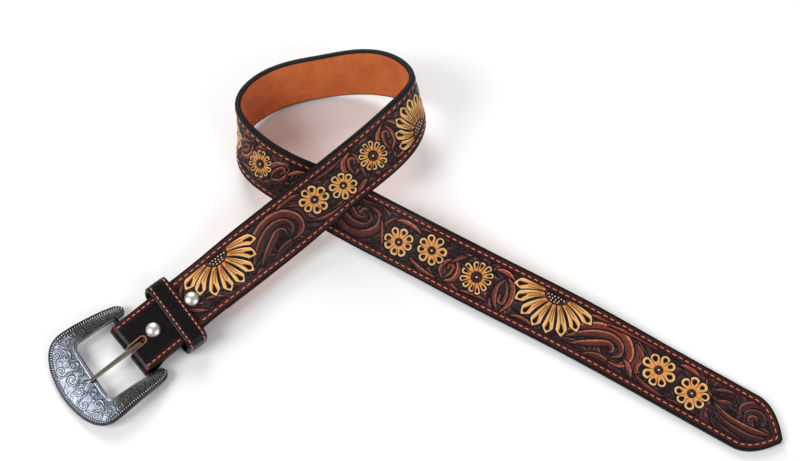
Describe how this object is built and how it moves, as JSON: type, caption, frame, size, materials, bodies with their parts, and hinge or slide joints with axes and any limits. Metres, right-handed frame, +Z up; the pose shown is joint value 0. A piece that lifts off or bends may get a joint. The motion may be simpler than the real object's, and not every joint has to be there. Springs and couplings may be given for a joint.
{
  "type": "belt",
  "caption": "Tooled leather strap with suede lining lying in one open loop, with keeper, domed fastening screws and an arched horseshoe buckle with a swinging tongue.",
  "frame": {"origin": "middle of the footprint, on the table that the belt lies on", "axes": "+X towards the strap's tip, to the right in the picture, +Y away from the viewer, +Z up from the table"},
  "size_m": [0.4636, 0.2618, 0.0568],
  "materials": {
    "tooled_leather": "hand-tooled, dark stain with pale raised flowers, satin",
    "suede": "napped orange-brown suede",
    "dark_leather": "dark brown, satin",
    "nickel": "polished nickel",
    "antique_silver": "antique silver with darkened recesses",
    "tongue_metal": "warm dark nickel"
  },
  "bodies": {
    "strap": {"strap_leather": "tooled_leather", "strap_lining": "suede", "keeper": "dark_leather", "screw_near_buckle": "nickel", "screw_near_loop": "nickel"},
    "buckle": {"buckle_frame": "antique_silver"},
    "tongue": {"tongue": "tongue_metal"}
  },
  "joints": [
    {"name": "buckle_swing", "type": "hinge", "parent": "strap", "child": "buckle", "pos_m": [-0.1764, -0.06552, 0.00599], "axis": [-0.5903, 0.8072, 0], "range_deg": [-60, 30]},
    {"name": "tongue_swing", "type": "hinge", "parent": "buckle", "child": "tongue", "pos_m": [-0.1764, -0.06552, 0.00599], "axis": [-0.5903, 0.8072, 0], "range_deg": [0, 75]}
  ]
}
